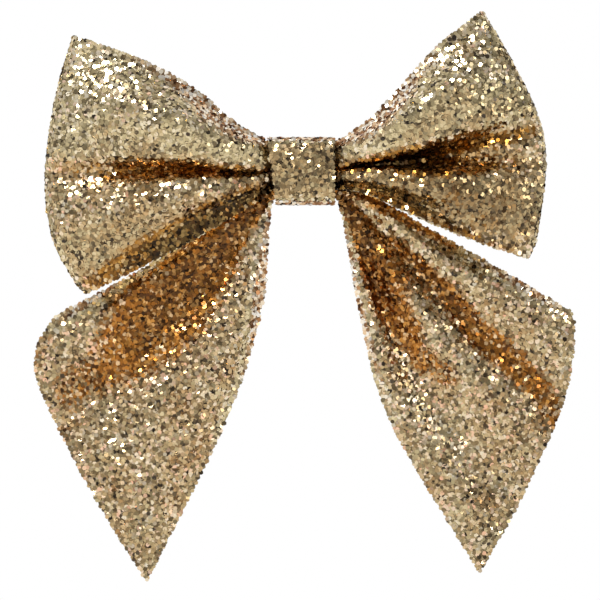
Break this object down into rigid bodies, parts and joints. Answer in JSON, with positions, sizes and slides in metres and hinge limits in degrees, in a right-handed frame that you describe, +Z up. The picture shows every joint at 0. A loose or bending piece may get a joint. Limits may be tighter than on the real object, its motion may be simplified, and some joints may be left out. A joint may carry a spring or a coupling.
{
  "type": "hair bow on a clip",
  "caption": "Pinched hair bow of stiff glitter canvas: pleated loops, wrapped knot and pointed tails on a sprung steel hair clip.",
  "frame": {"origin": "in the clip's closed mouth, on the plane where the hair lies, level with the middle of the knot", "axes": "+Z up as worn, +X to the right seen from the front, -Y out of the bow's front, +Y towards the head"},
  "size_m": [0.1351, 0.0285, 0.1425],
  "materials": {
    "glitter_canvas": "dense champagne-gold metal-look glitter flakes on stiff coated canvas",
    "waxed_thread": "twisted and waxed",
    "set_glue": "set hot-melt glue",
    "nickel_steel": "nickel-plated stamped steel",
    "spring_steel": "drawn wire"
  },
  "bodies": {
    "bow": {"loop_strip": "glitter_canvas", "knot_band": "glitter_canvas", "waist_thread": "waxed_thread", "waist_glue": "set_glue", "glue_pad": "set_glue", "clip_top_jaw": "nickel_steel", "clip_pivot_pin": "nickel_steel", "clip_spring": "spring_steel"},
    "left_tail": {"tail_left": "glitter_canvas"},
    "right_tail": {"tail_right": "glitter_canvas"},
    "lower_jaw": {"clip_bottom_jaw": "nickel_steel"}
  },
  "joints": [
    {"name": "jaw_open", "type": "hinge", "parent": "bow", "child": "lower_jaw", "pos_m": [0.013, 0, 0], "axis": [0, 0, -1], "range_deg": [0, 32], "stiffness_Nm_per_rad": 0.03, "springref_deg": -57.3, "deforming": ["clip_spring"]},
    {"name": "left_tail_flex", "type": "hinge", "parent": "bow", "child": "left_tail", "pos_m": [-0.0076, -0.00535, -0.0058], "axis": [1, 0, 0], "range_deg": [-6, 20], "stiffness_Nm_per_rad": 0.003},
    {"name": "right_tail_flex", "type": "hinge", "parent": "bow", "child": "right_tail", "pos_m": [0.0076, -0.00535, -0.0058], "axis": [1, 0, 0], "range_deg": [-6, 20], "stiffness_Nm_per_rad": 0.003}
  ]
}
